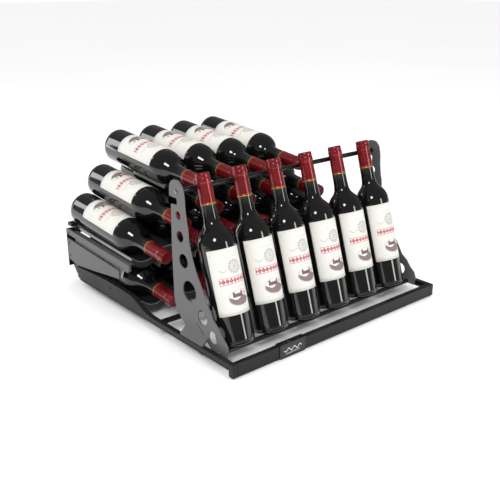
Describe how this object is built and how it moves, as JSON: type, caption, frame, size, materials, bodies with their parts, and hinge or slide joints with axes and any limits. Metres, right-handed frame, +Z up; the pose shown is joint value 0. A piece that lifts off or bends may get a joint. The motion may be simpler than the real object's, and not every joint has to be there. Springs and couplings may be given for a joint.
{
  "type": "wine cooler presentation shelf",
  "caption": "Pull-out wine cooler shelf on side runners: a tilted display rack of bottles in front of stacked lying bottles on two cradle trays.",
  "frame": {"origin": "bottom centre of the bounding box", "axes": "+X right as seen from the front, +Y from the front fascia towards the back of the cooler, +Z up"},
  "size_m": [0.59, 0.6362, 0.3489],
  "materials": {
    "bottle_glass": "very dark glass, full bottle",
    "fascia_black": "satin black",
    "holder_clear_black": "gloss black",
    "card": "matt dark card",
    "runner_steel": "satin dark grey",
    "rail_grey": "satin dark grey",
    "cross_steel": "satin dark grey",
    "screw_steel": "bright steel",
    "bracket_steel": "satin mid grey",
    "rod_black": "gloss black",
    "tray_plastic": "fine-grained black plastic",
    "trim_grey": "light grey",
    "arm_grey": "satin grey",
    "post_black": "satin black"
  },
  "bodies": {
    "runners": {"runner_left": "runner_steel", "runner_right": "runner_steel"},
    "shelf": {"arm_plate_left": "arm_grey", "arm_plate_right": "arm_grey", "bracket_left": "bracket_steel", "bracket_right": "bracket_steel", "cross_member_front": "cross_steel", "cross_member_middle": "cross_steel", "cross_member_rear": "cross_steel", "fascia_bar": "fascia_black", "fascia_end_left": "fascia_black", "fascia_end_right": "fascia_black", "frame_cross_bar_front": "cross_steel", "frame_cross_bar_rear": "cross_steel", "heel_rod": "rod_black", "heel_rod_screw_left": "screw_steel", "heel_rod_screw_right": "screw_steel", "lower_row_bottle_1": "bottle_glass", "lower_row_bottle_2": "bottle_glass", "lower_row_bottle_3": "bottle_glass", "lower_row_bottle_4": "bottle_glass", "lower_row_bottle_5": "bottle_glass", "lower_row_bottle_6": "bottle_glass", "lower_tray": "tray_plastic", "neck_rod": "rod_black", "neck_rod_screw_left": "screw_steel", "neck_rod_screw_right": "screw_steel", "rear_post_left": "post_black", "rear_post_right": "post_black", "second_row_bottle_1": "bottle_glass", "second_row_bottle_2": "bottle_glass", "second_row_bottle_3": "bottle_glass", "second_row_bottle_4": "bottle_glass", "second_row_bottle_5": "bottle_glass", "side_rail_left": "rail_grey", "side_rail_right": "rail_grey", "tray_trim_left": "trim_grey", "tray_trim_right": "trim_grey", "upper_frame_bar_left": "arm_grey", "upper_frame_bar_right": "arm_grey", "upper_row_bottle_1": "bottle_glass", "upper_row_bottle_2": "bottle_glass", "upper_row_bottle_3": "bottle_glass", "upper_row_bottle_4": "bottle_glass", "upper_row_bottle_5": "bottle_glass", "upper_row_bottle_6": "bottle_glass", "upper_tray": "tray_plastic"},
    "label_clip": {"label_holder": "holder_clear_black", "label_card": "card"},
    "display_bottle_1": {"display_bottle_1": "bottle_glass"},
    "display_bottle_2": {"display_bottle_2": "bottle_glass"},
    "display_bottle_3": {"display_bottle_3": "bottle_glass"},
    "display_bottle_4": {"display_bottle_4": "bottle_glass"},
    "display_bottle_5": {"display_bottle_5": "bottle_glass"},
    "display_bottle_6": {"display_bottle_6": "bottle_glass"},
    "top_row_bottle_1": {"top_row_bottle_1": "bottle_glass"},
    "top_row_bottle_2": {"top_row_bottle_2": "bottle_glass"},
    "top_row_bottle_3": {"top_row_bottle_3": "bottle_glass"},
    "top_row_bottle_4": {"top_row_bottle_4": "bottle_glass"}
  },
  "joints": [
    {"name": "shelf_slide", "type": "slide", "parent": "runners", "child": "shelf", "axis": [0, -1, 0], "range_m": [0, 0.35]},
    {"name": "label_clip_slide", "type": "slide", "parent": "shelf", "child": "label_clip", "axis": [1, 0, 0], "range_m": [-0.1, 0.39]},
    {"name": "display_bottle_1_lift", "type": "slide", "parent": "shelf", "child": "display_bottle_1", "axis": [0, 0, 1], "range_m": [0, 0.2]},
    {"name": "display_bottle_2_lift", "type": "slide", "parent": "shelf", "child": "display_bottle_2", "axis": [0, 0, 1], "range_m": [0, 0.2]},
    {"name": "display_bottle_3_lift", "type": "slide", "parent": "shelf", "child": "display_bottle_3", "axis": [0, 0, 1], "range_m": [0, 0.2]},
    {"name": "display_bottle_4_lift", "type": "slide", "parent": "shelf", "child": "display_bottle_4", "axis": [0, 0, 1], "range_m": [0, 0.2]},
    {"name": "display_bottle_5_lift", "type": "slide", "parent": "shelf", "child": "display_bottle_5", "axis": [0, 0, 1], "range_m": [0, 0.2]},
    {"name": "display_bottle_6_lift", "type": "slide", "parent": "shelf", "child": "display_bottle_6", "axis": [0, 0, 1], "range_m": [0, 0.2]},
    {"name": "top_row_bottle_1_lift", "type": "slide", "parent": "shelf", "child": "top_row_bottle_1", "axis": [0, 0, 1], "range_m": [0, 0.12]},
    {"name": "top_row_bottle_2_lift", "type": "slide", "parent": "shelf", "child": "top_row_bottle_2", "axis": [0, 0, 1], "range_m": [0, 0.12]},
    {"name": "top_row_bottle_3_lift", "type": "slide", "parent": "shelf", "child": "top_row_bottle_3", "axis": [0, 0, 1], "range_m": [0, 0.12]},
    {"name": "top_row_bottle_4_lift", "type": "slide", "parent": "shelf", "child": "top_row_bottle_4", "axis": [0, 0, 1], "range_m": [0, 0.12]}
  ]
}
